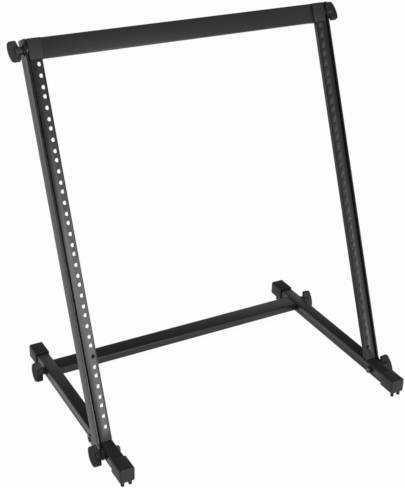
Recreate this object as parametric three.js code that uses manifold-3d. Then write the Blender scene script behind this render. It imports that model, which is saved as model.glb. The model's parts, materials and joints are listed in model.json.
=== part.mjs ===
// Leaning 12 unit studio rack stand: two legs, a rear crossbar, and a rack frame held by wing screws.
// Millimetres. X runs across the stand, Y from front to back, Z up from the floor.
import * as THREE from 'three';
import { mergeVertices } from 'three/addons/utils/BufferGeometryUtils.js';
import Module from 'manifold-3d';

const wasm = await Module();
wasm.setup();

// Gaps between pieces, and how far a cut runs past the face it opens
const seatGap = 0.2;
const fitGap = 0.25;
const cutOverrun = 1.0;

// Rack opening and its hole pattern
const rackUnitHeight = 44.45;
const unitCount = 12;
const firstHole = 6.35;
const holePitch = 15.875;
const holesPerUnit = 3;
const holeFromStripEdge = 6.25;
const railHoleRadius = 3.0;
const railHoleSides = 8;

// Lean of the rack frame, and its pivot behind the front end
const leanDegrees = 22.4;
const pivotFromFront = 60.0;

// Places up the frame, counted from the pivot along the lean
const openingAbovePivot = 28.6;
const openingHeadroom = 0.2;
const railBelowOpening = 15.0;

// Rack rails, folded from sheet
const railClearWidth = 452.6;
const railStripWidth = 18.8;
const railSheet = 2.0;
const railFlangeDepth = 22.0;
const railReturnDepth = 8.0;
const railBendRadius = 1.6;
const railBehindPivot = 6.3;
const railFloorClearance = 1.2;

// Side plates
const grooveWidth = 2.0;
const plateThickness = 2.4;
const plateDepth = 25.0;
const plateBehindPivot = 4.3;
const plateCornerRadius = 2.5;
const earRadius = 9.3;
const earFillet = 3.0;
const heelLength = 50.2;
const heelTop = 3.1;
const heelCornerRadius = 3.5;
const heelFillet = 3.0;

// Welding spacers between plate and rail
const weldSpacerDepth = 10.0;
const weldSpacerHeight = 30.0;
const weldSpacerSetback = 8.0;
const weldSpacerFromEnds = 90.0;

// Top crossbar and its end blocks
const crossbarWide = 29.4;
const crossbarThin = 13.0;
const crossbarWall = 1.5;
const crossbarCorner = 1.8;
const blockLength = 21.8;
const blockDepth = 18.0;
const blockHeight = 29.8;
const blockCorner = 1.5;
const spigotLength = 18.0;
const insertRadius = 4.5;
const insertLength = 14.0;

// Legs
const legSize = 19.5;
const legWall = 1.5;
const legCorner = 2.4;
const baseDepth = 359.0;
const capWall = 1.7;
const capEndWall = 3.0;
const frontCapLength = 29.0;
const rearCapLength = 30.0;
const capCorner = 3.0;
const rearCapChamfer = 5.0;

// Rubber nubs under the caps
const nubRadius = 2.7;
const nubTipRadius = 2.2;
const nubTipHeight = 0.8;
const nubExposed = 7.2;
const nubStemRadius = 1.4;
const nubSpacing = 11.8;
const nubFromEnd = 4.5;
const rearNubFromEnd = 13.0;

// Rear crossbar
const rearBarFromBack = 66.6;
const rearBarDrop = 1.5;

// Wing screws and what they pass through
const studRadius = 3.0;
const washerThickness = 1.0;
const washerRadius = 8.5;
const earWasherThickness = 1.3;
const wingLength = 30.6;
const wingEndDepth = 11.5;
const wingBulge = 2.5;
const wingTipSetback = 1.8;
const wingThickness = 7.0;
const wingBevel = 1.2;
const wingCurveSteps = 8;
const bossRadius = 6.0;
const bossLength = 3.8;
const bossEndWall = 1.5;
const pivotBossLength = 0.6;
const studInKnob = 6.0;
const topKnobDegrees = 44.0;
const pivotKnobDegrees = 40.0;
const rearKnobDegrees = 26.0;

// Pivot nuts on the legs' inner faces
const nutAcrossFlats = 10.0;
const nutSides = 6;
const nutThickness = 5.0;
const studShortOfNutFace = 0.5;

// Stop pins that the plates' heels rest on
const stopPinRadius = 2.5;
const stopPinFromHeelEnd = 8.0;
const stopPinBelowPivot = 4.0;
const stopPinHeadRadius = 3.9;
const stopPinHead = 1.2;
const stopPinHeadChamfer = 0.6;
const stopPinTailRadius = 3.2;
const stopPinTail = 1.6;
const slotSideGap = 0.7;
const slotSeatGap = 0.3;

// Corners inside a tube, and the inside of a bend in sheet, against the outside ones
const innerCornerShare = 0.6;
const innerBendShare = 0.5;

// Sides of round pieces
const roundSides = 16;
const smallSides = 12;
const bendSteps = 3;
const plateCurveSteps = 6;

// Worked out across the stand
const railOuter = railClearWidth / 2 + railStripWidth;
const plateInner = railOuter + grooveWidth;
const plateOuter = plateInner + plateThickness;
const legOuter = plateInner - earWasherThickness - 2 * seatGap;
const legInner = legOuter - legSize;
const legCentre = (legOuter + legInner) / 2;

const holeColumnX = railClearWidth / 2 + holeFromStripEdge;

// Worked out from front to back and up
const lean = THREE.MathUtils.degToRad(leanDegrees);
const frontEnd = -baseDepth / 2;
const rearEnd = baseDepth / 2;
const pivotY = frontEnd + pivotFromFront;
const legBottom = nubExposed + capWall + seatGap;
const legMiddle = legBottom + legSize / 2;
const legTop = legBottom + legSize;
const pivotHeight = legMiddle;
const stopPinFromPivot = heelLength - stopPinFromHeelEnd;
const stopPinHeight = pivotHeight - stopPinBelowPivot;
const rearBarY = rearEnd - rearBarFromBack;
const rearBarZ = legTop - rearBarDrop - crossbarThin / 2;
const holeRadius = studRadius + fitGap;
const openingHeight = unitCount * rackUnitHeight;
const railBottom = openingAbovePivot - railBelowOpening;
const blockBottom = openingAbovePivot + openingHeight + openingHeadroom;
const blockTop = blockBottom + blockHeight;
const railTop = blockBottom - seatGap;
const barMiddle = (blockTop + blockBottom) / 2;
const barBehindPivot = railBehindPivot + blockDepth / 2;
const blockInner = railOuter - blockLength;

const blackPowderCoat = { color: 0x2b2b2c, roughness: 0.5, metalness: 0.3 };
const blackPlastic = { color: 0x242425, roughness: 0.55, metalness: 0.0 };
const blackRubber = { color: 0x161616, roughness: 0.8, metalness: 0.0 };
const zincSteel = { color: 0x8d8f92, roughness: 0.35, metalness: 1.0 };
const blackSteel = { color: 0x1d1d1e, roughness: 0.4, metalness: 0.8 };

const stand = new THREE.Group();
const leaning = new THREE.Group();
leaning.position.set(0, pivotY, pivotHeight);
leaning.rotation.x = -lean;
stand.add(leaning);

// Solids from geometry, and geometry from solids

function solidOf(geometry) {
  const bare = geometry.clone();
  bare.deleteAttribute('normal');
  bare.deleteAttribute('uv');
  const merged = mergeVertices(bare);
  const vertProperties = Float32Array.from(merged.attributes.position.array);
  const triVerts = Uint32Array.from(merged.index.array);
  return new wasm.Manifold(new wasm.Mesh({ numProp: 3, vertProperties, triVerts }));
}

function geometryOf(solid) {
  const mesh = solid.getMesh();
  const geometry = new THREE.BufferGeometry();
  geometry.setAttribute('position', new THREE.BufferAttribute(mesh.vertProperties, 3));
  geometry.setIndex(new THREE.BufferAttribute(mesh.triVerts, 1));
  geometry.computeVertexNormals();
  return geometry;
}

function cut(geometry, ...tools) {
  return geometryOf(tools.reduce((solid, tool) => solid.subtract(solidOf(tool)), solidOf(geometry)));
}

function join(geometry, ...others) {
  return geometryOf(others.reduce((solid, other) => solid.add(solidOf(other)), solidOf(geometry)));
}

function addPiece(group, name, geometry, finish, place = [0, 0, 0]) {
  const mesh = new THREE.Mesh(geometry, new THREE.MeshStandardMaterial(finish));
  mesh.name = name;
  mesh.position.set(...place);
  group.add(mesh);
  return mesh;
}

// Shapes that several pieces share

function roundedRectangle(width, height, radius) {
  const x = width / 2;
  const y = height / 2;
  const shape = new THREE.Shape();
  shape.moveTo(x, y - radius);
  shape.absarc(x - radius, y - radius, radius, 0, Math.PI / 2);
  shape.absarc(radius - x, y - radius, radius, Math.PI / 2, Math.PI);
  shape.absarc(radius - x, radius - y, radius, Math.PI, 1.5 * Math.PI);
  shape.absarc(x - radius, radius - y, radius, 1.5 * Math.PI, 2 * Math.PI);
  return shape;
}

function tubeSection(width, height, wall, radius) {
  const section = roundedRectangle(width, height, radius);
  const innerRadius = radius * innerCornerShare;
  section.holes.push(roundedRectangle(width - 2 * wall, height - 2 * wall, innerRadius));
  return section;
}

function extrude(shape, length, steps = bendSteps) {
  return new THREE.ExtrudeGeometry(shape, { depth: length, bevelEnabled: false, curveSegments: steps });
}

// A section drawn across Y and Z, run along X from start
function alongX(shape, start, length, steps) {
  const turn = new THREE.Matrix4().set(0, 0, 1, start, 1, 0, 0, 0, 0, 1, 0, 0, 0, 0, 0, 1);
  return extrude(shape, length, steps).applyMatrix4(turn);
}

// A section drawn across Z and X, run along Y from start
function alongY(shape, start, length, steps) {
  const turn = new THREE.Matrix4().set(0, 1, 0, 0, 0, 0, 1, start, 1, 0, 0, 0, 0, 0, 0, 1);
  return extrude(shape, length, steps).applyMatrix4(turn);
}

// A round bar along X between two places
function rodAlongX(radius, from, to, sides = smallSides) {
  const rod = new THREE.CylinderGeometry(radius, radius, Math.abs(to - from), sides);
  rod.rotateZ(Math.PI / 2);
  return rod.translate((from + to) / 2, 0, 0);
}

function tubeAlongX(outer, inner, from, to, sides = roundSides) {
  const half = Math.abs(to - from) / 2;
  const points = [[inner, -half], [outer, -half], [outer, half], [inner, half], [inner, -half]];
  const tube = new THREE.LatheGeometry(points.map(([r, z]) => new THREE.Vector2(r, z)), sides);
  tube.rotateZ(Math.PI / 2);
  return tube.translate((from + to) / 2, 0, 0);
}

function latheAlongX(points, side, sides) {
  const lathe = new THREE.LatheGeometry(points.map(([r, x]) => new THREE.Vector2(r, x)), sides);
  return lathe.rotateZ(side > 0 ? -Math.PI / 2 : Math.PI / 2);
}

function sideName(side) {
  return side < 0 ? 'left' : 'right';
}

// Legs, their end caps and nubs

function leg(side) {
  const start = frontEnd + capEndWall + seatGap;
  const length = baseDepth - 2 * (capEndWall + seatGap);
  const tube = alongY(tubeSection(legSize, legSize, legWall, legCorner), start, length);
  tube.translate(side * legCentre, 0, legMiddle);
  const through = legSize / 2 + cutOverrun;
  const holes = [
    [pivotY, pivotHeight, holeRadius, -through],
    [rearBarY, rearBarZ, holeRadius, -through],
    [pivotY + stopPinFromPivot, stopPinHeight, stopPinRadius + fitGap, 0],
  ];
  const drills = holes.map(([y, z, radius, from]) => {
    return rodAlongX(radius, side * from, side * through).translate(side * legCentre, y, z);
  });
  addPiece(stand, `leg_${sideName(side)}`, cut(tube, ...drills), blackPowderCoat);
}

// A cap is a cup drawn with its closed end at zero and its mouth towards the leg
function endCap(side, end, length, name, nubPlace, chamfer) {
  const size = legSize + 2 * (capWall + seatGap);
  const inward = -end;
  const from = Math.min(0, inward * length);
  const cup = alongY(roundedRectangle(size, size, capCorner), from, length);
  const pocketSize = legSize + 2 * seatGap;
  const pocketLength = length - capEndWall + cutOverrun;
  const pocketFrom = inward > 0 ? capEndWall : -length - cutOverrun;
  const pocket = alongY(roundedRectangle(pocketSize, pocketSize, legCorner), pocketFrom, pocketLength);
  const tools = [pocket];
  const stemHole = nubStemRadius + fitGap;
  const stemHoleLength = 2 * (capWall + cutOverrun);
  for (const across of [-nubSpacing / 2, nubSpacing / 2]) {
    const hole = new THREE.CylinderGeometry(stemHole, stemHole, stemHoleLength, smallSides);
    hole.rotateX(Math.PI / 2);
    tools.push(hole.translate(across, inward * nubPlace, -size / 2));
  }
  if (chamfer > 0) {
    const slope = chamfer * Math.SQRT2;
    const wedge = new THREE.BoxGeometry(size + 2 * cutOverrun, slope, slope);
    wedge.rotateX(Math.PI / 4);
    tools.push(wedge.translate(0, 0, -size / 2));
  }
  const y = end * baseDepth / 2;
  addPiece(stand, name, cut(cup, ...tools), blackPlastic, [side * legCentre, y, legMiddle]);
  nubs(side, y + inward * nubPlace, name);
}

function nubs(side, y, capName) {
  const stemTop = legBottom - seatGap;
  const shoulder = nubExposed - seatGap;
  const profile = [[0, 0], [nubTipRadius, 0], [nubRadius, nubTipHeight], [nubRadius, shoulder]];
  profile.push([nubStemRadius, shoulder], [nubStemRadius, stemTop], [0, stemTop]);
  const points = profile.map(([r, z]) => new THREE.Vector2(r, z));
  for (const [label, across] of [['a', -nubSpacing / 2], ['b', nubSpacing / 2]]) {
    const nub = new THREE.LatheGeometry(points, smallSides).rotateX(Math.PI / 2);
    addPiece(stand, `${capName}_nub_${label}`, nub, blackRubber, [side * legCentre + across, y, 0]);
  }
}

// Rear crossbar, lying flat between the legs, with a threaded plug in each end

function rearCrossbar() {
  const reach = legInner - seatGap;
  const section = tubeSection(crossbarWide, crossbarThin, crossbarWall, crossbarCorner);
  const place = [0, rearBarY, rearBarZ];
  addPiece(stand, 'rear_crossbar', alongX(section, -reach, 2 * reach), blackPowderCoat, place);
  for (const side of [-1, 1]) {
    const wide = crossbarWide - 2 * (crossbarWall + fitGap);
    const thin = crossbarThin - 2 * (crossbarWall + fitGap);
    const start = side > 0 ? reach - insertLength : -reach;
    const plug = alongX(roundedRectangle(wide, thin, crossbarCorner), start, insertLength);
    const boreFrom = side * (reach - insertLength - cutOverrun);
    const bore = rodAlongX(holeRadius, boreFrom, side * (reach + cutOverrun));
    addPiece(stand, `rear_insert_${sideName(side)}`, cut(plug, bore), zincSteel, place);
  }
}

// Pivot hardware that stays with the leg

function pivotNut(side) {
  const corner = nutAcrossFlats / 2 / Math.cos(Math.PI / nutSides);
  const hex = rodAlongX(corner, 0, nutThickness, nutSides);
  const bore = rodAlongX(holeRadius, -cutOverrun, nutThickness + cutOverrun);
  const piece = addPiece(stand, `pivot_nut_${sideName(side)}`, cut(hex, bore), blackSteel);
  piece.position.set(side * (legInner - seatGap), pivotY, pivotHeight);
  piece.rotation.y = side > 0 ? Math.PI : 0;
}

function earWasher(side) {
  const from = side * (legOuter + seatGap);
  const to = side * (plateInner - seatGap);
  const washer = tubeAlongX(washerRadius, holeRadius, from, to);
  addPiece(stand, `ear_washer_${sideName(side)}`, washer, blackSteel, [0, pivotY, pivotHeight]);
}

function stopPin(side) {
  const headFrom = plateOuter + seatGap;
  const headTo = headFrom + stopPinHead;
  const wallInner = legOuter - legWall;
  const tailFrom = wallInner - seatGap - stopPinTail;
  const tailTo = tailFrom + stopPinTail;
  const points = [[0, tailFrom], [stopPinTailRadius, tailFrom], [stopPinTailRadius, tailTo]];
  points.push([stopPinRadius, tailTo], [stopPinRadius, headFrom], [stopPinHeadRadius, headFrom]);
  points.push([stopPinHeadRadius, headTo - stopPinHeadChamfer]);
  points.push([stopPinHeadRadius - stopPinHeadChamfer, headTo], [0, headTo]);
  const pin = latheAlongX(points, side, roundSides);
  const place = [0, pivotY + stopPinFromPivot, stopPinHeight];
  addPiece(stand, `stop_pin_${sideName(side)}`, pin, blackSteel, place);
}

// Side plates, drawn level from the pivot, with the shaft leaning back

function leanedPoint(behind, up) {
  const y = behind * Math.cos(lean) + up * Math.sin(lean);
  const z = up * Math.cos(lean) - behind * Math.sin(lean);
  return new THREE.Vector2(y, z);
}

// How far up the lean a line parallel to the shaft crosses a level height
function upAtLevel(behind, level) {
  return (level + behind * Math.sin(lean)) / Math.cos(lean);
}

// A corner rounded by a curve between the two points that lie a radius away from it
function roundCorner(shape, from, corner, to, radius) {
  const start = corner.clone().add(from.clone().sub(corner).setLength(radius));
  const end = corner.clone().add(to.clone().sub(corner).setLength(radius));
  shape.lineTo(start.x, start.y);
  shape.quadraticCurveTo(corner.x, corner.y, end.x, end.y);
}

function plateOutline() {
  const front = plateBehindPivot;
  const rear = plateBehindPivot + plateDepth;
  const frontTop = leanedPoint(front, blockTop);
  const rearTop = leanedPoint(rear, blockTop);
  const earCorner = leanedPoint(front, upAtLevel(front, earRadius));
  const heelCorner = leanedPoint(rear, upAtLevel(rear, heelTop + heelFillet));
  const heelUpper = new THREE.Vector2(heelLength, heelTop);
  const heelLower = new THREE.Vector2(heelLength, -earRadius);
  const earTop = new THREE.Vector2(0, earRadius);
  const earBottom = new THREE.Vector2(0, -earRadius);
  const outline = new THREE.Shape();
  outline.moveTo(frontTop.x, frontTop.y);
  roundCorner(outline, frontTop, earCorner, earTop, earFillet);
  outline.lineTo(earTop.x, earTop.y);
  outline.absarc(0, 0, earRadius, Math.PI / 2, 1.5 * Math.PI);
  pinSlot(outline);
  roundCorner(outline, earBottom, heelLower, heelUpper, heelCornerRadius);
  roundCorner(outline, heelLower, heelUpper, heelCorner, heelCornerRadius);
  roundCorner(outline, heelUpper, heelCorner, rearTop, heelFillet);
  roundCorner(outline, heelCorner, rearTop, frontTop, plateCornerRadius);
  return outline;
}

// The slot over the stop pin follows the pin's path round the pivot, and opens at the heel's lower edge
function pinSlot(outline) {
  const reach = Math.hypot(stopPinFromPivot, stopPinBelowPivot);
  const turn = -Math.asin(stopPinBelowPivot / reach);
  const half = stopPinRadius + slotSideGap;
  const seatDrop = (slotSideGap - slotSeatGap) / reach;
  const seatTurn = turn - seatDrop;
  const near = reach - half;
  const far = reach + half;
  outline.absarc(0, 0, near, -Math.asin(earRadius / near), seatTurn);
  const seatX = reach * Math.cos(seatTurn);
  const seatY = reach * Math.sin(seatTurn);
  outline.absarc(seatX, seatY, half, seatTurn + Math.PI, seatTurn, true);
  outline.absarc(0, 0, far, seatTurn, -Math.asin(earRadius / far), true);
}

function circleHole(y, z, radius) {
  const hole = new THREE.Path();
  hole.absarc(y, z, radius, 0, 2 * Math.PI);
  return hole;
}

function sidePlate(side) {
  const outline = plateOutline();
  const top = leanedPoint(barBehindPivot, barMiddle);
  outline.holes.push(circleHole(0, 0, holeRadius), circleHole(top.x, top.y, holeRadius));
  const start = side > 0 ? plateInner : -plateOuter;
  const plate = alongX(outline, start, plateThickness, plateCurveSteps);
  addPiece(stand, `side_plate_${sideName(side)}`, plate, blackPowderCoat, [0, pivotY, pivotHeight]);
}

// Rack rails

function railSection(side) {
  const inner = railClearWidth / 2;
  const bend = railBendRadius;
  const inside = bend * innerBendShare;
  const front = railBehindPivot;
  const section = new THREE.Shape();
  const corner = (x, y, radius, from, to, clockwise) => {
    const turned = side > 0 ? [from, to, clockwise] : [Math.PI - from, Math.PI - to, !clockwise];
    section.absarc(side * x, y, radius, ...turned);
  };
  section.moveTo(side * inner, front + railReturnDepth);
  corner(inner + bend, front + bend, bend, Math.PI, 1.5 * Math.PI, false);
  corner(railOuter - bend, front + bend, bend, -Math.PI / 2, 0, false);
  section.lineTo(side * railOuter, front + railFlangeDepth);
  section.lineTo(side * (railOuter - railSheet), front + railFlangeDepth);
  corner(railOuter - railSheet - inside, front + railSheet + inside, inside, 0, -Math.PI / 2, true);
  corner(inner + railSheet + inside, front + railSheet + inside, inside, 1.5 * Math.PI, Math.PI, true);
  section.lineTo(side * (inner + railSheet), front + railReturnDepth);
  return section;
}

function rackHoles(side) {
  const drills = [];
  const sheetMiddle = railBehindPivot + railSheet / 2;
  for (let unit = 0; unit < unitCount; unit += 1) {
    for (let hole = 0; hole < holesPerUnit; hole += 1) {
      const up = openingAbovePivot + unit * rackUnitHeight + firstHole + hole * holePitch;
      const depth = railSheet + 2 * cutOverrun;
      const drill = new THREE.CylinderGeometry(railHoleRadius, railHoleRadius, depth, railHoleSides);
      drills.push(drill.translate(side * holeColumnX, sheetMiddle, up));
    }
  }
  return drills;
}

function rackRail(side) {
  const rail = extrude(railSection(side), railTop - railBottom);
  rail.translate(0, 0, railBottom);
  const clearHeight = legTop + railFloorClearance - pivotHeight;
  const width = railStripWidth + 2 * cutOverrun;
  const block = new THREE.BoxGeometry(width, 2 * (railBehindPivot + railFlangeDepth + legSize), legSize);
  block.translate(side * (railOuter - railStripWidth / 2), 0, clearHeight - legSize / 2);
  block.rotateX(lean);
  const folded = cut(rail, block, ...rackHoles(side));
  addPiece(leaning, `rack_rail_${sideName(side)}`, folded, blackPowderCoat);
}

function weldSpacers(side) {
  const thickness = grooveWidth - 2 * seatGap;
  const places = [['lower', railBottom + weldSpacerFromEnds], ['upper', railTop - weldSpacerFromEnds]];
  for (const [label, up] of places) {
    const spacer = new THREE.BoxGeometry(thickness, weldSpacerDepth, weldSpacerHeight);
    const behind = railBehindPivot + weldSpacerSetback + weldSpacerDepth / 2;
    const place = [side * (railOuter + grooveWidth / 2), behind, up];
    addPiece(leaning, `rail_spacer_${label}_${sideName(side)}`, spacer, blackPowderCoat, place);
  }
}

// Top crossbar, with an end block plugged into each end and a threaded insert in each block

function topCrossbar() {
  const reach = blockInner - seatGap;
  const section = tubeSection(crossbarThin, crossbarWide, crossbarWall, crossbarCorner);
  const place = [0, barBehindPivot, barMiddle];
  addPiece(leaning, 'top_crossbar', alongX(section, -reach, 2 * reach), blackPowderCoat, place);
}

function endBlock(side) {
  const blockStart = side > 0 ? blockInner : -railOuter;
  const block = alongX(roundedRectangle(blockDepth, blockHeight, blockCorner), blockStart, blockLength);
  const wide = crossbarWide - 2 * (crossbarWall + fitGap);
  const thin = crossbarThin - 2 * (crossbarWall + fitGap);
  const spigotStart = side > 0 ? blockInner - spigotLength : -blockInner - cutOverrun;
  const spigotSection = roundedRectangle(thin, wide, crossbarCorner);
  const spigot = alongX(spigotSection, spigotStart, spigotLength + cutOverrun);
  const insertFrom = side * (railOuter - insertLength);
  const boreFrom = insertFrom - side * seatGap;
  const insertBore = rodAlongX(insertRadius + fitGap, boreFrom, side * (railOuter + cutOverrun));
  const place = [0, barBehindPivot, barMiddle];
  const name = sideName(side);
  addPiece(leaning, `end_block_${name}`, cut(join(block, spigot), insertBore), blackPlastic, place);
  const insert = tubeAlongX(insertRadius, holeRadius, insertFrom, side * railOuter, smallSides);
  addPiece(leaning, `top_insert_${name}`, insert, zincSteel, place);
  const spacerFrom = side * (railOuter + seatGap);
  const spacer = tubeAlongX(washerRadius, holeRadius, spacerFrom, side * (plateInner - seatGap));
  addPiece(leaning, `top_spacer_${name}`, spacer, blackSteel, place);
}

// Wing screws: a washer, a stud and a moulded knob, drawn outward from the face they clamp

function wingOutline() {
  const half = wingLength / 2 - wingBevel;
  const tipInner = wingTipSetback + wingBevel;
  const tipOuter = wingTipSetback + wingEndDepth - wingBevel;
  const radius = (half * half + wingBulge * wingBulge) / (2 * wingBulge);
  const spread = Math.asin(half / radius);
  const outline = new THREE.Shape();
  outline.moveTo(tipInner, -half);
  outline.absarc(tipOuter + wingBulge - radius, 0, radius, -spread, spread);
  outline.lineTo(tipInner, half);
  outline.lineTo(wingBevel, bossRadius);
  outline.lineTo(wingBevel, -bossRadius);
  return outline;
}

function wingKnob(side, boss) {
  const core = wingThickness - 2 * wingBevel;
  const bevel = { bevelSize: wingBevel, bevelThickness: wingBevel, bevelSegments: 1 };
  const settings = { depth: core, curveSegments: wingCurveSteps, bevelEnabled: true, ...bevel };
  const wing = new THREE.ExtrudeGeometry(wingOutline(), settings);
  wing.translate(boss, 0, -core / 2);
  wing.rotateX(Math.PI / 2);
  if (side < 0) wing.rotateY(Math.PI);
  const hub = rodAlongX(bossRadius, 0, side * (boss + studInKnob + bossEndWall), roundSides);
  const bore = rodAlongX(studRadius + fitGap, -side * cutOverrun, side * (boss + studInKnob));
  return cut(join(wing, hub), bore);
}

function wingScrew(group, name, side, face, boss, inwardReach, wingDegrees, place) {
  const label = `${name}_${sideName(side)}`;
  const washerFrom = face + seatGap;
  const washerTo = washerFrom + washerThickness;
  const knobFrom = washerTo + seatGap;
  const washer = tubeAlongX(washerRadius, holeRadius, side * washerFrom, side * washerTo);
  const studTo = knobFrom + boss + studInKnob - fitGap;
  const stud = rodAlongX(studRadius, side * inwardReach, side * studTo);
  addPiece(group, `${label}_washer`, washer, blackSteel, place);
  addPiece(group, `${label}_stud`, stud, zincSteel, place);
  const knobPlace = [side * knobFrom, place[1], place[2]];
  const knob = addPiece(group, `${label}_knob`, wingKnob(side, boss), blackPlastic, knobPlace);
  knob.rotation.x = -THREE.MathUtils.degToRad(wingDegrees);
}

function wingScrews(side) {
  const nutSeat = legInner - seatGap;
  const topTip = railOuter - insertLength;
  const pivotTip = nutSeat - nutThickness + studShortOfNutFace;
  const rearTip = nutSeat - insertLength;
  const topTurn = topKnobDegrees - leanDegrees;
  const topPlace = [0, barBehindPivot, barMiddle];
  const pivotPlace = [0, pivotY, pivotHeight];
  const rearPlace = [0, rearBarY, rearBarZ];
  wingScrew(leaning, 'top', side, plateOuter, bossLength, topTip, topTurn, topPlace);
  wingScrew(stand, 'pivot', side, plateOuter, pivotBossLength, pivotTip, pivotKnobDegrees, pivotPlace);
  wingScrew(stand, 'rear', side, legOuter, bossLength, rearTip, rearKnobDegrees, rearPlace);
}

rearCrossbar();
topCrossbar();
for (const side of [-1, 1]) {
  const name = sideName(side);
  leg(side);
  endCap(side, -1, frontCapLength, `front_cap_${name}`, nubFromEnd, 0);
  endCap(side, 1, rearCapLength, `rear_cap_${name}`, rearNubFromEnd, rearCapChamfer);
  pivotNut(side);
  earWasher(side);
  stopPin(side);
  sidePlate(side);
  rackRail(side);
  weldSpacers(side);
  endBlock(side);
  wingScrews(side);
}

export default stand;
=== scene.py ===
import json
import math

import bmesh
import bpy
from mathutils import Matrix, Vector

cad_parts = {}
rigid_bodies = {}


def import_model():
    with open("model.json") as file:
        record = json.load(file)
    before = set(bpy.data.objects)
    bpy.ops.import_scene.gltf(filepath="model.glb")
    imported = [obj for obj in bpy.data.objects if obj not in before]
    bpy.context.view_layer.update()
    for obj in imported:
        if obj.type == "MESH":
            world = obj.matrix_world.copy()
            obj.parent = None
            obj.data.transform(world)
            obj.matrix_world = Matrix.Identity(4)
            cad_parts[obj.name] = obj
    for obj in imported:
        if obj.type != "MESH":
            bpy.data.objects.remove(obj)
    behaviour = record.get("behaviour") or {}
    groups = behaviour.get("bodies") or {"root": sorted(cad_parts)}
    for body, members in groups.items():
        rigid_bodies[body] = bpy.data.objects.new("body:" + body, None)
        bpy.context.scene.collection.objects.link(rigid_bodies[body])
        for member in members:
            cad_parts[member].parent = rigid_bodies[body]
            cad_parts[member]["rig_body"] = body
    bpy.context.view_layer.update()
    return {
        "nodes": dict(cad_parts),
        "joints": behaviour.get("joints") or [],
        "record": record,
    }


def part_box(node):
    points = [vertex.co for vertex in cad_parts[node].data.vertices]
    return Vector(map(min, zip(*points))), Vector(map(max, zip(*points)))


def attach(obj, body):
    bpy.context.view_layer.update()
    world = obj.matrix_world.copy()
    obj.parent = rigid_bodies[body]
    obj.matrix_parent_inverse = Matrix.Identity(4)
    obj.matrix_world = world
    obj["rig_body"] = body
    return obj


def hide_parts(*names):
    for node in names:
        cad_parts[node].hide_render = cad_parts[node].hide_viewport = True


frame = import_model()

# Leaning studio rack stand in satin black powder coat, with moulded plastic caps, blocks and knobs.
# Metres. X runs across the stand, Y from front to back, Z up from the floor.
MM = 0.001

# Camera, solved from the edges of the stand
IMAGE_WIDTH = 405
SENSOR_WIDTH = 36
CAMERA_PLACE = Vector((-0.7004, -1.2111, 0.9660))
CAMERA_YAW = math.radians(29.157)
CAMERA_PITCH = math.radians(27.304)
CAMERA_ROLL = math.radians(1.313)
FOCAL_PIXELS = 1034.0

# Roundings, walls, holes and gaps that the frame doesn't state
LEG_CORNER = 2.4 * MM
TUBE_WALL = 1.5 * MM
BAR_CORNER = 1.8 * MM
SHEET_EDGE = 0.3 * MM
CUT_EDGE = 0.2 * MM
HOLE_RADIUS = 3.25 * MM
HOLE_GAP = 0.25 * MM
SEAT_GAP = 0.2 * MM
OVERRUN = 1.0 * MM
STOP_PIN_RADIUS = 2.5 * MM

# How finely round forms are drawn, and which edges are rounded and shaded smooth
ROUND_STEPS = 48
CORNER_STEPS = 6
SOFTEN_DEGREES = 35
SMOOTH_DEGREES = 30
ROUND_PROFILE = 0.5

# How near two places lie to count as one, and two directions to count as alike
MERGE_GAP = 0.001 * MM
PLACE_GAP = 0.01 * MM
ALIKE_SHARE = 0.999
FACING_SHARE = 0.9

tilt = next(joint for joint in frame["joints"] if joint["name"] == "frame_tilt")
PIVOT = Vector(tilt["pos_m"])
LEAN = math.radians(tilt["range_deg"][1])
LEANED = Matrix.Translation(PIVOT) @ Matrix.Rotation(-LEAN, 4, "X")
SIDES = ((-1, "left"), (1, "right"))


# Places read from the frame

def level_box(node):
    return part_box(node)


def leaned_box(node):
    """A node's box along the lean, counted from the pivot."""
    upright = LEANED.inverted()
    places = [upright @ vertex.co for vertex in frame["nodes"][node].data.vertices]
    low = Vector(min(place[axis] for place in places) for axis in range(3))
    high = Vector(max(place[axis] for place in places) for axis in range(3))
    return low, high


def middle_of(box):
    low, high = box
    return (low + high) / 2


# Hand tools: each works on one object, in edit mode where a shape is cut or drawn

def pick_only(piece):
    bpy.ops.object.select_all(action="DESELECT")
    piece.select_set(True)
    bpy.context.view_layer.objects.active = piece


def take_new(name):
    piece = bpy.context.object
    piece.name = name
    bpy.ops.object.transform_apply(location=True, rotation=True, scale=True)
    return piece


def block(name, low, high):
    bpy.ops.object.select_all(action="DESELECT")
    size = high - low
    bpy.ops.mesh.primitive_cube_add(size=1, location=(low + high) / 2, scale=size)
    return take_new(name)


def rod(name, radius, start, end, steps=ROUND_STEPS):
    """A round bar between two places."""
    bpy.ops.object.select_all(action="DESELECT")
    line = end - start
    turn = line.to_track_quat("Z", "Y").to_euler()
    bpy.ops.mesh.primitive_cylinder_add(
        vertices=steps, radius=radius, depth=line.length, location=(start + end) / 2, rotation=turn)
    return take_new(name)


def choose(piece, kind, test):
    """Selects the vertices, edges or faces of a piece in edit mode that pass a test."""
    mesh = bmesh.from_edit_mesh(piece.data)
    for group in (mesh.verts, mesh.edges, mesh.faces):
        for element in group:
            element.select = False
    mesh.select_mode = {kind}
    chosen = {"VERT": mesh.verts, "EDGE": mesh.edges, "FACE": mesh.faces}[kind]
    for element in chosen:
        if test(element):
            element.select = True
    mesh.select_flush_mode()
    bmesh.update_edit_mesh(piece.data)


def begin_edit(piece, kind="VERT"):
    pick_only(piece)
    bpy.ops.object.mode_set(mode="EDIT")
    bpy.ops.mesh.select_mode(type=kind)


def end_edit():
    bpy.ops.object.mode_set(mode="OBJECT")


def edge_line(edge):
    return (edge.verts[1].co - edge.verts[0].co).normalized()


def edge_middle(edge):
    return (edge.verts[0].co + edge.verts[1].co) / 2


def runs_along(edge, axis):
    return abs(edge_line(edge)[axis]) > ALIKE_SHARE


def faces_along(face, axis):
    return abs(face.normal[axis]) > FACING_SHARE


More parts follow.
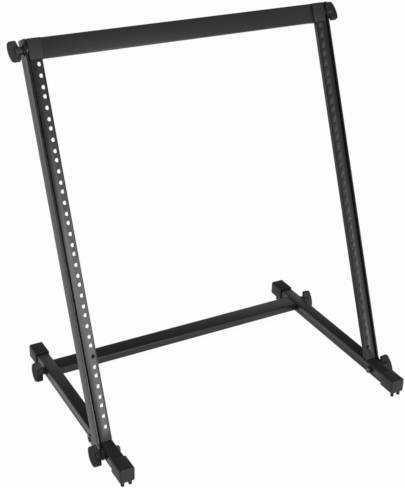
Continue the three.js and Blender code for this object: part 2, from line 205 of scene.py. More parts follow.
def round_edges(piece, test, radius, steps=CORNER_STEPS):
    begin_edit(piece, "EDGE")
    choose(piece, "EDGE", test)
    bpy.ops.mesh.bevel(
        offset=radius, segments=steps, profile=ROUND_PROFILE, affect="EDGES", clamp_overlap=True)
    end_edit()


def drop_faces(piece, test):
    begin_edit(piece, "FACE")
    choose(piece, "FACE", test)
    bpy.ops.mesh.delete(type="FACE")
    end_edit()


def face_out(piece):
    begin_edit(piece, "FACE")
    bpy.ops.mesh.select_all(action="SELECT")
    bpy.ops.mesh.remove_doubles(threshold=MERGE_GAP)
    bpy.ops.mesh.normals_make_consistent(inside=False)
    end_edit()


def modify(piece, kind, **settings):
    pick_only(piece)
    modifier = piece.modifiers.new(kind.lower(), kind)
    for key, value in settings.items():
        setattr(modifier, key, value)
    bpy.ops.object.modifier_apply(modifier=modifier.name)


def combine(piece, tool, operation="DIFFERENCE"):
    """Cuts, joins or intersects a piece with a tool, which is used up."""
    modify(piece, "BOOLEAN", operation=operation, object=tool, solver="EXACT")
    bpy.data.objects.remove(tool)


def drill(piece, centre, radius, reach, steps=ROUND_STEPS):
    """A hole along X through a place, as far as reach to each side."""
    step = Vector((reach, 0, 0))
    combine(piece, rod("drill", radius, centre - step, centre + step, steps))


def soften(piece, width=CUT_EDGE, steps=2, angle=SOFTEN_DEGREES):
    """Rounds every edge that turns by more than an angle."""
    modify(piece, "BEVEL", width=width, segments=steps, limit_method="ANGLE",
           angle_limit=math.radians(angle), use_clamp_overlap=True, harden_normals=False)


def draw_line(name, places):
    """A chain of edges through the places, drawn by extruding one vertex."""
    bpy.ops.object.select_all(action="DESELECT")
    bpy.ops.mesh.primitive_plane_add(size=MM, location=places[0])
    piece = take_new(name)
    begin_edit(piece)
    bpy.ops.mesh.select_all(action="SELECT")
    bpy.ops.mesh.merge(type="CENTER")
    for here, there in zip(places, places[1:]):
        bpy.ops.mesh.extrude_region_move(TRANSFORM_OT_translate={"value": there - here})
    end_edit()
    return piece


def draw_face(name, corners):
    """A flat face through the corners."""
    piece = draw_line(name, corners)
    begin_edit(piece)
    bpy.ops.mesh.select_all(action="SELECT")
    bpy.ops.mesh.edge_face_add()
    end_edit()
    return piece


def round_corner(piece, place, radius, steps=CORNER_STEPS):
    """Rounds the corner of a flat face that lies nearest a place."""
    begin_edit(piece)
    nearest = min((vertex.co - place).length for vertex in bmesh.from_edit_mesh(piece.data).verts)
    choose(piece, "VERT", lambda vertex: (vertex.co - place).length <= nearest + MERGE_GAP)
    bpy.ops.mesh.bevel(
        offset=radius, segments=steps, profile=ROUND_PROFILE, affect="VERTICES", clamp_overlap=True)
    end_edit()


def thicken(piece, step):
    """Extrudes all of a flat face or line by a step."""
    begin_edit(piece)
    bpy.ops.mesh.select_all(action="SELECT")
    bpy.ops.mesh.extrude_region_move(TRANSFORM_OT_translate={"value": step})
    end_edit()
    face_out(piece)


def quarter_turn(steps):
    return [step * math.pi / 2 / steps for step in range(steps + 1)]


def spun(name, centre, outward, profile, steps=ROUND_STEPS):
    """A turned piece: profile holds pairs of radius and distance outward from the centre."""
    places = [centre + Vector((outward * along, 0, radius)) for radius, along in profile]
    piece = draw_line(name, places)
    begin_edit(piece)
    bpy.ops.mesh.select_all(action="SELECT")
    bpy.ops.mesh.spin(steps=steps, angle=2 * math.pi, center=centre, axis=(1, 0, 0))
    end_edit()
    face_out(piece)
    return piece


def turned_ring(name, centre, outward, inner, outer, thickness, edge):
    """A turned washer with its four edges cut back."""
    half = thickness / 2
    profile = [
        (inner, -half + edge), (inner + edge, -half), (outer - edge, -half), (outer, -half + edge),
    ]
    profile += [(radius, -along) for radius, along in reversed(profile)]
    return spun(name, centre, outward, profile + profile[:1])


def settle(piece, angle):
    pick_only(piece)
    bpy.ops.object.shade_smooth_by_angle(angle=math.radians(angle))


def place_leaned(piece):
    piece.data.transform(LEANED)


# Shader maths: a socket that takes part in Python arithmetic

class Wire:
    def __init__(self, graph, socket):
        self.graph = graph
        self.socket = socket

    def maths(self, operation, *others):
        inputs = dict(enumerate((self, *others)))
        return self.graph.node("Math", {"operation": operation}, inputs)

    def __add__(self, other):
        return self.maths("ADD", other)

    def __mul__(self, other):
        return self.maths("MULTIPLY", other)

    def larger(self, other):
        return self.maths("MAXIMUM", other)

    __radd__ = __add__
    __rmul__ = __mul__


class Graph:
    """A tree of shader nodes, with one method that adds any node."""

    def __init__(self, tree):
        self.tree = tree

    def node(self, kind, settings, inputs, output=0):
        made = self.tree.nodes.new("ShaderNode" + kind)
        for key, value in settings.items():
            if key == "stops":
                self.set_stops(made.color_ramp, value)
            else:
                setattr(made, key, value)
        self.feed(made, inputs)
        return Wire(self, made.outputs[output]) if made.outputs else None

    def feed(self, made, inputs):
        for key, value in inputs.items():
            if isinstance(value, Wire):
                self.tree.links.new(value.socket, made.inputs[key])
            else:
                made.inputs[key].default_value = value

    def set_stops(self, ramp, stops):
        while len(ramp.elements) < len(stops):
            ramp.elements.new(1)
        for element, (position, grey) in zip(ramp.elements, stops):
            element.position = position
            element.color = (grey, grey, grey, 1)


# The Mix node's colour sockets share their names with its others, so they go by their places
MIX_FIRST = 6
MIX_SECOND = 7
MIX_RESULT = 2


class Finish(Graph):
    """A material for a surface, with its shader."""

    def __init__(self, name):
        self.material = bpy.data.materials.new(name)
        self.material.use_nodes = True
        super().__init__(self.material.node_tree)
        self.shader = self.tree.nodes["Principled BSDF"]

    def constant(self, socket, value):
        self.shader.inputs[socket].default_value = value

    def place(self):
        return self.node("TexCoord", {}, {}, "Object")

    def noise(self, scale, detail=2, roughness=0.5):
        inputs = {"Vector": self.place(), "Scale": scale, "Detail": detail, "Roughness": roughness}
        return self.node("TexNoise", {}, inputs, "Fac")

    def cells(self, scale):
        return self.node("TexVoronoi", {}, {"Vector": self.place(), "Scale": scale}, "Distance")

    def ramp(self, value, low, high):
        stops = [(low, 0), (high, 1)]
        return self.node("ValToRGB", {"stops": stops}, {"Fac": value})

    def blend(self, share, first, second):
        inputs = {"Factor": share, MIX_FIRST: first, MIX_SECOND: second}
        return self.node("Mix", {"data_type": "RGBA"}, inputs, MIX_RESULT)

    def relief(self, height, strength, distance):
        bump = self.node("Bump", {}, {"Height": height, "Strength": strength, "Distance": distance})
        self.feed(self.shader, {"Normal": bump})

    def wear(self, colour, roughness):
        self.feed(self.shader, {"Base Color": colour, "Roughness": roughness})


SATIN_SPECULAR = 0.35
COOL_ZINC = (0.18, 0.185, 0.19, 1)
WARM_ZINC = (0.27, 0.27, 0.265, 1)


def grey(value, warmth=0.0):
    return (value * (1 + warmth), value, value * (1 - warmth), 1)


def powder_coat():
    """Satin black powder coat: a fine orange peel, and slight clouding of its gloss."""
    finish = Finish("satin_black_powder_coat")
    peel = finish.noise(900, detail=3, roughness=0.6)
    clouding = finish.noise(14, detail=3)
    grain = finish.noise(4200, detail=1)
    colour = finish.blend(clouding, grey(0.0125), grey(0.0165))
    finish.wear(colour, roughness=0.32 + clouding * 0.08 + grain * 0.05)
    finish.relief(peel + grain * 0.4, strength=0.22, distance=0.12 * MM)
    finish.constant("Specular IOR Level", SATIN_SPECULAR)
    return finish.material


def moulded_plastic():
    """Black moulded plastic with a fine spark-eroded grain."""
    finish = Finish("moulded_black_plastic")
    grain = finish.cells(2600)
    flow = finish.noise(60, detail=3)
    colour = finish.blend(flow, grey(0.0115), grey(0.0155))
    finish.wear(colour, roughness=0.46 + flow * 0.12)
    finish.relief(grain, strength=0.25, distance=0.08 * MM)
    finish.constant("Specular IOR Level", SATIN_SPECULAR)
    return finish.material


def soft_rubber():
    """Dull black rubber, a little dusty."""
    finish = Finish("soft_black_rubber")
    dust = finish.noise(700, detail=4, roughness=0.7)
    settled = finish.ramp(dust, low=0.5, high=0.75)
    colour = finish.blend(settled, grey(0.008), grey(0.02, warmth=0.03))
    finish.wear(colour, roughness=0.78 + dust * 0.12)
    finish.relief(dust, strength=0.2, distance=0.06 * MM)
    return finish.material


def zinc_plate():
    """Dull zinc plate with faint cloudy crystals."""
    finish = Finish("dull_zinc_plate")
    crystals = finish.cells(900)
    film = finish.noise(120, detail=3)
    colour = finish.blend(film, COOL_ZINC, WARM_ZINC)
    finish.wear(colour, roughness=0.36 + film * 0.16 + crystals * 0.1)
    finish.relief(crystals, strength=0.08, distance=0.04 * MM)
    finish.constant("Metallic", 1)
    return finish.material


def black_plate():
    """Black zinc plate on small steel parts, rubbed slightly paler in places."""
    finish = Finish("black_plated_steel")
    film = finish.noise(260, detail=4, roughness=0.6)
    rubbed = finish.ramp(film, low=0.52, high=0.8)
    colour = finish.blend(rubbed, grey(0.012), grey(0.04))
    finish.wear(colour, roughness=0.32 + film * 0.16)
    finish.relief(film, strength=0.1, distance=0.04 * MM)
    return finish.material


FINISHES = {
    "powder_coat": powder_coat(),
    "plastic": moulded_plastic(),
    "rubber": soft_rubber(),
    "zinc": zinc_plate(),
    "black_steel": black_plate(),
}
SLOT_OF = {row["node"]: row["material_slot"] for row in frame["record"]["subparts"]}


def put_on(piece, node, angle=SMOOTH_DEGREES):
    """Gives a modelled piece the body, slot and finish of the node that it stands for."""
    settle(piece, angle)
    slot = SLOT_OF[node]
    piece.data.materials.clear()
    piece.data.materials.append(FINISHES[slot])
    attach(piece, frame["nodes"][node]["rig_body"])
    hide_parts(node)


# Legs: square tube with rounded corners, drilled for the pivot, the stop pin and the rear crossbar

def tube(name, low, high, axis, corner):
    piece = block(name, low, high)
    round_edges(piece, lambda edge: runs_along(edge, axis), corner)
    drop_faces(piece, lambda face: faces_along(face, axis))
    modify(piece, "SOLIDIFY", thickness=TUBE_WALL, offset=-1, use_even_offset=True)
    return piece


def leg(side, name):
    low, high = level_box(f"leg_{name}")
    piece = tube(f"leg_{name}_tube", low, high, 1, LEG_CORNER)
    middle = (low.x + high.x) / 2
    reach = (high.x - low.x) / 2 + OVERRUN
    rear = middle_of(level_box(f"rear_{name}_stud"))
    pin = middle_of(level_box(f"stop_pin_{name}"))
    drill(piece, Vector((middle, PIVOT.y, PIVOT.z)), HOLE_RADIUS, reach)
    drill(piece, Vector((middle, rear.y, rear.z)), HOLE_RADIUS, reach)
    drill(piece, Vector((middle + side * reach, pin.y, pin.z)), STOP_PIN_RADIUS + HOLE_GAP, reach)
    soften(piece)
    put_on(piece, f"leg_{name}")


# Caps: moulded cups over the ends of the legs

CAP_WALL = 1.7 * MM
CAP_END_WALL = 3.0 * MM
CAP_CORNER = 3.0 * MM
CAP_EDGE = 1.6 * MM
CAP_MOUTH_EDGE = 0.35 * MM
REAR_CAP_CHAMFER = 5.0 * MM
CHAMFER_SEARCH = 1.0 * MM


def cap(end, name):
    """A cup over one end of a leg: end is 1 at the rear and -1 at the front."""
    low, high = level_box(name)
    piece = block(f"{name}_cup", low, high)
    closed = high.y if end > 0 else low.y
    round_edges(piece, lambda edge: runs_along(edge, 1), CAP_CORNER)
    if end > 0:
        def is_lower_rear(edge):
            middle = edge_middle(edge)
            lies_there = middle.y > closed - CHAMFER_SEARCH and middle.z < low.z + CHAMFER_SEARCH
            return runs_along(edge, 0) and lies_there
        round_edges(piece, is_lower_rear, REAR_CAP_CHAMFER, steps=1)
    begin_edit(piece, "FACE")
    choose(piece, "FACE", lambda face: face.normal.y * end < -FACING_SHARE)
    bpy.ops.mesh.inset(thickness=CAP_WALL, depth=0)
    depth = high.y - low.y - CAP_END_WALL
    bpy.ops.mesh.extrude_region_move(TRANSFORM_OT_translate={"value": (0, end * depth, 0)})
    end_edit()

    def is_closed_rim(edge):
        return abs(edge_middle(edge).y - closed) < PLACE_GAP
    round_edges(piece, is_closed_rim, CAP_EDGE, steps=5)
    soften(piece, CAP_MOUTH_EDGE, steps=3, angle=50)
    put_on(piece, name)


# Nubs: turned rubber feet pressed into the caps

NUB_TIP_ROUND = 1.0 * MM
NUB_STEM_RADIUS = 1.4 * MM
NUB_STEPS = 32
NUB_TIP_STEPS = 6


def nub(node):
    low, high = level_box(node)
    radius = (high.x - low.x) / 2
    centre = Vector(((low.x + high.x) / 2, (low.y + high.y) / 2, low.z))
    stem = NUB_STEM_RADIUS
    cap_low = level_box(node[:node.index("_nub_")])[0]
    shoulder = cap_low.z - SEAT_GAP
    height = high.z - low.z
    tip = [(radius - NUB_TIP_ROUND * (1 - math.sin(turn)), NUB_TIP_ROUND * (1 - math.cos(turn)))
           for turn in quarter_turn(NUB_TIP_STEPS)]
    profile = [(0, 0)] + tip + [(radius, shoulder), (stem, shoulder), (stem, height), (0, height)]
    piece = draw_line(f"{node}_foot", [centre + Vector((r, 0, up)) for r, up in profile])
    begin_edit(piece)
    bpy.ops.mesh.select_all(action="SELECT")
    bpy.ops.mesh.spin(steps=NUB_STEPS, angle=2 * math.pi, center=centre, axis=(0, 0, 1))
    end_edit()
    face_out(piece)
    put_on(piece, node, angle=40)


# Crossbars: flat rectangular tube, level at the rear and along the lean at the top

def crossbar(node, leans):
    low, high = leaned_box(node) if leans else level_box(node)
    piece = tube(f"{node}_tube", low, high, 0, BAR_CORNER)
    soften(piece)
    if leans:
        place_leaned(piece)
    put_on(piece, node)


# Side plates: laser-cut sheet, with the ear round the pivot, the heel behind it and the leaning shaft

PLATE_PROUD = 2.0 * MM
PLATE_DEPTH = 25.0 * MM
PLATE_CORNER = 2.5 * MM
PLATE_EDGE = 0.8 * MM
EAR_RADIUS = 9.3 * MM
HEEL_LENGTH = 50.2 * MM
HEEL_TOP = 3.1 * MM
HEEL_CORNER = 3.5 * MM
HEEL_FILLET = 3.0 * MM
EAR_FILLET = 3.0 * MM
PIN_SLOT_GAP = 0.7 * MM
PIN_SLOT_RISE = 0.3 * MM
SLOT_ROUND_SHARE = 0.98


def leaned_point(x, behind, up):
    """A place counted from the pivot along the lean, in the frame's own axes."""
    return LEANED @ Vector((x, behind, up))


def where_level(x, behind, height):
    """Where a line along the shaft crosses a height counted from the pivot."""
    up = (height + behind * math.sin(LEAN)) / math.cos(LEAN)
    return leaned_point(x, behind, up)


def side_plate(name):
    node = f"side_plate_{name}"
    low, high = level_box(node)
    front = leaned_box(f"rack_rail_{name}")[0].y - PLATE_PROUD
    rear = front + PLATE_DEPTH
    top = leaned_box(node)[1].z
    x = low.x
    pin = middle_of(level_box(f"stop_pin_{name}"))
    slot_half = STOP_PIN_RADIUS + PIN_SLOT_GAP
    slot_round = slot_half * SLOT_ROUND_SHARE
    slot_front = pin.y - slot_half
    slot_rear = pin.y + slot_half
    slot_top = pin.z + STOP_PIN_RADIUS + PIN_SLOT_RISE
    bottom = PIVOT.z - EAR_RADIUS
    ear_top = PIVOT.z + EAR_RADIUS
    ear_front = PIVOT.y - EAR_RADIUS
    heel_end = PIVOT.y + HEEL_LENGTH
    heel_top = PIVOT.z + HEEL_TOP

    def level(y, z):
        return Vector((x, y, z))

    # The sheet's corners in order, each with the radius of its rounding and the steps that it takes
    outline = (
        (leaned_point(x, front, top), 0, 0),
        (where_level(x, front, EAR_RADIUS), EAR_FILLET, 6),
        (level(ear_front, ear_top), EAR_RADIUS, 20),
        (level(ear_front, bottom), EAR_RADIUS, 20),
        (level(slot_front, bottom), 0, 0),
        (level(slot_front, slot_top), slot_round, 8),
        (level(slot_rear, slot_top), slot_round, 8),
        (level(slot_rear, bottom), 0, 0),
        (level(heel_end, bottom), HEEL_CORNER, 8),
        (level(heel_end, heel_top), HEEL_CORNER, 8),
        (where_level(x, rear, HEEL_TOP + HEEL_FILLET), HEEL_FILLET, 8),
        (leaned_point(x, rear, top), PLATE_CORNER, 10),
    )
    piece = draw_face(f"{node}_sheet", [corner for corner, radius, steps in outline])
    for corner, radius, steps in outline:
        if radius:
            round_corner(piece, corner, radius, steps)
    thicken(piece, Vector((high.x - low.x, 0, 0)))
    reach = high.x - low.x + OVERRUN
    top_screw = middle_of(leaned_box(f"top_insert_{name}"))
    drill(piece, level(PIVOT.y, PIVOT.z), HOLE_RADIUS, reach)
    drill(piece, leaned_point(x, top_screw.y, top_screw.z), HOLE_RADIUS, reach)
    soften(piece, PLATE_EDGE, steps=4)
    put_on(piece, node)


# Rack rails: folded sheet with the hole pattern of the rack standard

RAIL_SHEET = 2.0 * MM
RAIL_BEND = 1.6 * MM
RAIL_RETURN = 8.0 * MM
RAIL_FLANGE = 22.0 * MM
RACK_UNIT = 44.45 * MM
UNIT_COUNT = 12
HOLES_PER_UNIT = 3
HOLE_PITCH = 15.875 * MM
FIRST_HOLE = 6.35 * MM
HOLE_FROM_STRIP_EDGE = 6.25 * MM
RAIL_HOLE_RADIUS = 3.0 * MM
RAIL_HOLE_STEPS = 28
OPENING_ABOVE_PIVOT = 28.6 * MM
RAIL_LEG_GAP = 1.2 * MM
RAIL_BELOW_PIVOT = 30.0 * MM


def hole_row(side, inner, front):
    """One tool that holds every drill of a rail's hole pattern."""
    column = inner + side * HOLE_FROM_STRIP_EDGE
    start = Vector((column, front - OVERRUN, OPENING_ABOVE_PIVOT + FIRST_HOLE))
    end = start + Vector((0, RAIL_SHEET + 2 * OVERRUN, 0))
    drills = rod("rack_hole_drills", RAIL_HOLE_RADIUS, start, end, RAIL_HOLE_STEPS)
    for count, pitch in ((HOLES_PER_UNIT, HOLE_PITCH), (UNIT_COUNT, RACK_UNIT)):
        modify(drills, "ARRAY", count=count, use_relative_offset=False, use_constant_offset=True,
               constant_offset_displace=(0, 0, pitch))
    return drills


def rack_rail(side, name):
    node = f"rack_rail_{name}"
    low, high = leaned_box(node)
    inner, outer = (high.x, low.x) if side < 0 else (low.x, high.x)
    front = low.y
    foot = -RAIL_BELOW_PIVOT
    section = [Vector((inner, front + RAIL_RETURN, foot)), Vector((inner, front, foot)),
               Vector((outer, front, foot)), Vector((outer, front + RAIL_FLANGE, foot))]
    piece = draw_line(f"{node}_fold", section)
    thicken(piece, Vector((0, 0, high.z - foot)))

    def is_fold(edge):
        middle = edge_middle(edge)
        at_front = abs(middle.y - front) < PLACE_GAP
        at_side = min(abs(middle.x - inner), abs(middle.x - outer)) < PLACE_GAP
        return runs_along(edge, 2) and at_front and at_side
    round_edges(piece, is_fold, RAIL_BEND)
    begin_edit(piece, "FACE")
    bpy.ops.mesh.select_all(action="SELECT")
    faces = bmesh.from_edit_mesh(piece.data).faces
    widest = max(faces, key=lambda face: face.calc_area() if faces_along(face, 1) else 0)
    if widest.normal.y > 0:
        bpy.ops.mesh.flip_normals()
    end_edit()
    modify(piece, "SOLIDIFY", thickness=RAIL_SHEET, offset=-1, use_even_offset=True)
    face_out(piece)
    begin_edit(piece, "FACE")
    bpy.ops.mesh.select_all(action="SELECT")
    leg_high = level_box(f"leg_{name}")[1]
    level_place = Vector((0, PIVOT.y, leg_high.z + RAIL_LEG_GAP))
    upright = LEANED.inverted()
    bpy.ops.mesh.bisect(
        plane_co=upright @ level_place, plane_no=upright.to_3x3() @ Vector((0, 0, 1)),
        use_fill=True, clear_inner=True)
    end_edit()
    face_out(piece)
    combine(piece, hole_row(side, inner, front))
    soften(piece, SHEET_EDGE)
    place_leaned(piece)
    put_on(piece, node)


# End blocks: moulded blocks that plug into the top crossbar

BLOCK_EDGE = 1.6 * MM
SPIGOT_GAP = 0.25 * MM
SPIGOT_LENGTH = 18.0 * MM
INSERT_RADIUS = 4.5 * MM
INSERT_LENGTH = 14.0 * MM


def end_block(side, name):
    node = f"end_block_{name}"
    low, high = leaned_box(node)
    bar_low, bar_high = leaned_box("top_crossbar")
    face = bar_high.x + SEAT_GAP
    reach = high.x if side > 0 else -low.x
    start, end = sorted((side * face, side * reach))
    piece = block(f"{node}_moulding", Vector((start, low.y, low.z)), Vector((end, high.y, high.z)))
    round_edges(piece, lambda edge: True, BLOCK_EDGE, steps=5)
    wall = TUBE_WALL + SPIGOT_GAP
    start, end = sorted((side * (face + OVERRUN), side * (face - SPIGOT_LENGTH)))
    spigot_low = Vector((start, bar_low.y + wall, bar_low.z + wall))
    spigot_high = Vector((end, bar_high.y - wall, bar_high.z - wall))
    combine(piece, block("spigot", spigot_low, spigot_high), "UNION")
    mouth = Vector((side * (reach + INSERT_LENGTH), (low.y + high.y) / 2, (low.z + high.z) / 2))
    drill(piece, mouth, INSERT_RADIUS + HOLE_GAP, 2 * INSERT_LENGTH + SEAT_GAP)
    place_leaned(piece)
    put_on(piece, node)


# Wing screws: a rounded wing on a short hub, a threaded stud and a washer

WING_THICKNESS = 7.0 * MM
WING_END_DEPTH = 11.5 * MM
WING_BULGE = 2.5 * MM
WING_TIP_SETBACK = 1.8 * MM
WING_LENGTH = 30.6 * MM
WING_ROUND = 1.7 * MM
WING_CORNER = 3.5 * MM
WING_INNER_CORNER = 1.5 * MM
HUB_RADIUS = 6.0 * MM
HUB_END_WALL = 1.5 * MM
HUB_EDGE = 0.8 * MM
STUD_RADIUS = 3.0 * MM
THREAD_PITCH = 1.0 * MM
THREAD_DEPTH = 0.55 * MM
THREAD_START_SHARE = 0.5
CREST_SHARES = (0.4, 0.6)
THREAD_STEPS = 24
STUD_IN_KNOB = 6.0 * MM
KNOB_DEGREES = {"top": 44.0, "pivot": 40.0, "rear": 26.0}
ARC_STEPS = 16


def curve(start, corner, end, steps=CORNER_STEPS):
    """Places along a rounded corner."""
    shares = [step / steps for step in range(steps + 1)]
    return [start * (1 - t) ** 2 + corner * 2 * t * (1 - t) + end * t ** 2 for t in shares]


def screw_axis(node):
    """Where the middle line of a piece along X crosses the stand's middle plane."""
    middle = middle_of(level_box(node))
    return Vector((0, middle.y, middle.z))


def wing_knob(place, side, name):
    node = f"{place}_{name}_knob"
    low, high = level_box(node)
    foot = low.x if side > 0 else -high.x
    tip = high.x if side > 0 else -low.x
    hub_length = tip - foot - WING_TIP_SETBACK - WING_END_DEPTH - WING_BULGE
    flat = foot + hub_length
    half = WING_LENGTH / 2
    radius = (half * half + WING_BULGE * WING_BULGE) / (2 * WING_BULGE)
    spread = math.asin(half / radius)
    side_face = -WING_THICKNESS / 2
    shoulder = flat + WING_TIP_SETBACK

    def on_face(along, up):
        return Vector((along, side_face, up))

    def on_arc(turn):
        return on_face(tip - radius + radius * math.cos(turn), radius * math.sin(turn))

    lower_shoulder = on_face(shoulder, -half)
    upper_shoulder = on_face(shoulder, half)
    hub_side = [on_face(flat, -HUB_RADIUS), on_face(flat, HUB_RADIUS)]
    arc_end = spread - WING_CORNER / radius
    rounding = curve(on_face(on_arc(spread).x - WING_CORNER, half), on_arc(spread), on_arc(arc_end))
    arc = [on_arc(arc_end * (1 - 2 * step / ARC_STEPS)) for step in range(1, ARC_STEPS)]
    mirrored = [on_face(point.x, -point.z) for point in reversed(rounding)]
    outline = [lower_shoulder, *hub_side, upper_shoulder, *rounding, *arc, *mirrored]
    piece = draw_face(f"{node}_wing", outline)
    for corner in (lower_shoulder, upper_shoulder):
        round_corner(piece, corner, WING_INNER_CORNER)
    thicken(piece, Vector((0, WING_THICKNESS, 0)))
    soften(piece, WING_ROUND, steps=5, angle=25)
    start = Vector((foot, 0, 0))
    hub_reach = hub_length + STUD_IN_KNOB + HUB_END_WALL
    hub = rod("hub", HUB_RADIUS, start, start + Vector((hub_reach, 0, 0)))
    soften(hub, HUB_EDGE, steps=4)
    combine(piece, hub, "UNION")
    drill(piece, start, STUD_RADIUS + HOLE_GAP, hub_length + STUD_IN_KNOB)
    turn = Matrix.Rotation(-math.radians(KNOB_DEGREES[place]), 4, "X")
    flip = Matrix.Identity(4) if side > 0 else Matrix.Rotation(math.pi, 4, "Z")
    piece.data.transform(Matrix.Translation(screw_axis(f"{place}_{name}_stud")) @ turn @ flip)
    put_on(piece, node, angle=35)


def threaded_stud(place, side, name):
    node = f"{place}_{name}_stud"
    low, high = level_box(node)
    centre = screw_axis(node)
    inner = low.x if side > 0 else -high.x
    length = high.x - low.x
    root = STUD_RADIUS - THREAD_DEPTH
    ridges = int(length / THREAD_PITCH) - 1
    profile = [(0, inner), (root, inner)]
    for ridge in range(ridges):
        base = inner + (ridge + THREAD_START_SHARE) * THREAD_PITCH
        profile.append((root, base))
        profile += [(STUD_RADIUS, base + share * THREAD_PITCH) for share in CREST_SHARES]
    profile += [(root, inner + length), (0, inner + length)]
    put_on(spun(f"{node}_thread", centre, side, profile, THREAD_STEPS), node, angle=20)


def washer(node, side):
    low, high = level_box(node)
    outer = (high.y - low.y) / 2
    centre = (low + high) / 2
    ring = turned_ring(f"{node}_ring", centre, side, HOLE_RADIUS, outer, high.x - low.x, CUT_EDGE)
    put_on(ring, node)


# Pivot nuts on the legs' inner faces, and the stop pins that the heels rest on

NUT_FLATS = 10.0 * MM
NUT_SIDES = 6
NUT_FACE_RADIUS = 4.75 * MM
NUT_SLOPE = math.tan(math.radians(30))
NUT_TOOL_LEAD = 3.0 * MM


def pivot_nut(side, name):
    """A hexagon nut whose far face is turned off at its corners."""
    node = f"pivot_nut_{name}"
    low, high = level_box(node)
    thickness = high.x - low.x
    seat = high.x if side > 0 else -low.x
    centre = Vector((side * seat, PIVOT.y, PIVOT.z))
    corner = NUT_FLATS / 2 / math.cos(math.pi / NUT_SIDES)
    piece = rod(f"{node}_hex", corner, centre, centre - Vector((side * thickness, 0, 0)), NUT_SIDES)
    wide = 2 * corner
    slope_start = thickness - (wide - NUT_FACE_RADIUS) * NUT_SLOPE
    beyond = thickness + OVERRUN
    profile = [(0, -NUT_TOOL_LEAD), (wide, -NUT_TOOL_LEAD), (wide, slope_start),
               (NUT_FACE_RADIUS - OVERRUN / NUT_SLOPE, beyond), (0, beyond)]
    combine(piece, spun("chamfer", centre, -side, profile), "INTERSECT")
    drill(piece, centre, HOLE_RADIUS, beyond)
    put_on(piece, node, angle=25)


STOP_PIN_HEAD_RADIUS = 3.9 * MM
STOP_PIN_HEAD = 1.2 * MM
STOP_PIN_HEAD_RIM = 0.4 * MM
STOP_PIN_TAIL_RADIUS = 3.2 * MM
STOP_PIN_TAIL = 1.6 * MM
STOP_PIN_EDGE = 0.3 * MM
STOP_PIN_HEAD_STEPS = 8


def stop_pin(side, name):
    node = f"stop_pin_{name}"
    low, high = level_box(node)
    inner = low.x if side > 0 else -high.x
    outer = high.x if side > 0 else -low.x
    tail = inner + STOP_PIN_TAIL
    tail_radius = STOP_PIN_TAIL_RADIUS
    head = outer - STOP_PIN_HEAD
    crown = STOP_PIN_HEAD - STOP_PIN_HEAD_RIM
    profile = [(0, inner), (tail_radius - STOP_PIN_EDGE, inner), (tail_radius, inner + STOP_PIN_EDGE),
               (tail_radius, tail), (STOP_PIN_RADIUS, tail), (STOP_PIN_RADIUS, head),
               (STOP_PIN_HEAD_RADIUS, head)]
    for turn in quarter_turn(STOP_PIN_HEAD_STEPS):
        along = head + STOP_PIN_HEAD_RIM + crown * math.sin(turn)
        profile.append((STOP_PIN_HEAD_RADIUS * math.cos(turn), along))
    put_on(spun(f"{node}_rivet", screw_axis(node), side, profile), node, angle=35)


# All the pieces

for node in frame["nodes"]:
    if "_nub_" in node:
        nub(node)
crossbar("rear_crossbar", leans=False)
crossbar("top_crossbar", leans=True)
for side, name in SIDES:
    leg(side, name)
    cap(-1, f"front_cap_{name}")
    cap(1, f"rear_cap_{name}")
    side_plate(name)
    rack_rail(side, name)
    end_block(side, name)
    pivot_nut(side, name)
    stop_pin(side, name)
    washer(f"ear_washer_{name}", side)
    for place in ("top", "pivot", "rear"):
        wing_knob(place, side, name)
        threaded_stud(place, side, name)
        washer(f"{place}_{name}_washer", side)

# The nodes that stay as they are get their finishes
for node, shape in frame["nodes"].items():
    if not shape.hide_render:
        shape.data.materials.clear()
        shape.data.materials.append(FINISHES[SLOT_OF[node]])


# Stage: a white floor that keeps a soft shadow, a white surround and soft studio light

FLOOR_SIZE = 60
FLOOR_GAP = 0.2 * MM
FLOOR_WHITE_SHARE = 0.97
FLOOR_PAINT = (0.9, 0.9, 0.9, 1)
AMBIENT = 0.25
SKY_DEGREES_AND_GREYS = ((0, 1.0), (12, 1.0), (20, 0.3), (27, 0.1), (40, 0.05))
WHITE = (1, 1, 1, 1)


def seen_directly(graph):
    """1 for camera, glossy and transmission rays, and 0 for light that falls on the object."""
    kinds = ("Is Camera Ray", "Is Glossy Ray", "Is Transmission Ray")
    camera_ray, glossy_ray, clear_ray = (graph.node("LightPath", {}, {}, kind) for kind in kinds)
    return camera_ray.larger(glossy_ray).larger(clear_ray)


def floor():
    bpy.ops.object.select_all(action="DESELECT")
    bpy.ops.mesh.primitive_plane_add(size=FLOOR_SIZE, location=(0, 0, -FLOOR_GAP))
    piece = take_new("studio_floor")
    material = bpy.data.materials.new("white_floor")
    material.use_nodes = True
    graph = Graph(material.node_tree)
    graph.tree.nodes.clear()
    paint = graph.node("BsdfDiffuse", {}, {"Color": FLOOR_PAINT})
    glow = graph.node("Emission", {}, {"Color": WHITE, "Strength": 1})
    share = seen_directly(graph) * FLOOR_WHITE_SHARE
    surface = graph.node("MixShader", {}, {0: share, 1: paint, 2: glow})
    graph.node("OutputMaterial", {}, {"Surface": surface})
    piece.data.materials.append(material)


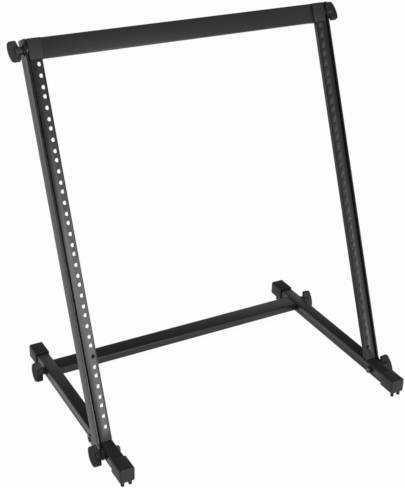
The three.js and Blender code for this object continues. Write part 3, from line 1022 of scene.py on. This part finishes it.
def surround():
    """A studio that is white at eye level and darkens overhead."""
    world = bpy.data.worlds.new("white_surround")
    world.use_nodes = True
    bpy.context.scene.world = world
    graph = Graph(world.node_tree)
    graph.tree.nodes.clear()
    direction = graph.node("TexCoord", {}, {}, "Generated")
    height = graph.node("SeparateXYZ", {}, {"Vector": direction}, "Z")
    stops = [(math.sin(math.radians(degrees)), level) for degrees, level in SKY_DEGREES_AND_GREYS]
    walls = graph.node("ValToRGB", {"stops": stops}, {"Fac": height})
    ambient = graph.node("Background", {}, {"Color": WHITE, "Strength": AMBIENT})
    seen = graph.node("Background", {}, {"Color": walls, "Strength": 1})
    surface = graph.node("MixShader", {}, {0: seen_directly(graph), 1: ambient, 2: seen})
    graph.node("OutputWorld", {}, {"Surface": surface})


def softbox(name, place, target, size, level):
    """A square soft light whose power gives the level at the target's distance."""
    bpy.ops.object.select_all(action="DESELECT")
    away = Vector(place) - Vector(target)
    bpy.ops.object.light_add(type="AREA", location=place)
    lamp = bpy.context.object
    lamp.name = name
    lamp.rotation_euler = away.to_track_quat("Z", "Y").to_euler()
    lamp.data.shape = "SQUARE"
    lamp.data.size = size
    lamp.data.energy = level * math.pi ** 2 * away.length_squared


def camera():
    ahead = math.cos(CAMERA_PITCH)
    forward = Vector((
        math.sin(CAMERA_YAW) * ahead, math.cos(CAMERA_YAW) * ahead, -math.sin(CAMERA_PITCH)))
    right = Vector((math.cos(CAMERA_YAW), -math.sin(CAMERA_YAW), 0))
    up = right.cross(forward)
    rolled_right = right * math.cos(CAMERA_ROLL) + up * math.sin(CAMERA_ROLL)
    rolled_up = up * math.cos(CAMERA_ROLL) - right * math.sin(CAMERA_ROLL)
    turn = Matrix((rolled_right, rolled_up, -forward)).transposed()
    bpy.ops.object.select_all(action="DESELECT")
    bpy.ops.object.camera_add(location=CAMERA_PLACE, rotation=turn.to_euler())
    eye = bpy.context.object
    eye.name = "studio_camera"
    eye.data.sensor_fit = "HORIZONTAL"
    eye.data.sensor_width = SENSOR_WIDTH
    eye.data.lens = FOCAL_PIXELS * SENSOR_WIDTH / IMAGE_WIDTH
    bpy.context.scene.camera = eye


floor()
surround()
softbox("overhead_softbox", place=(-0.4, -0.3, 2.6), target=(0, 0, 0.25), size=1.6, level=0.45)
softbox("front_softbox", place=(0.45, -2.4, 0.45), target=(-0.235, -0.05, 0.2), size=1.0, level=0.7)
camera()
bpy.context.scene.view_settings.view_transform = "Standard"
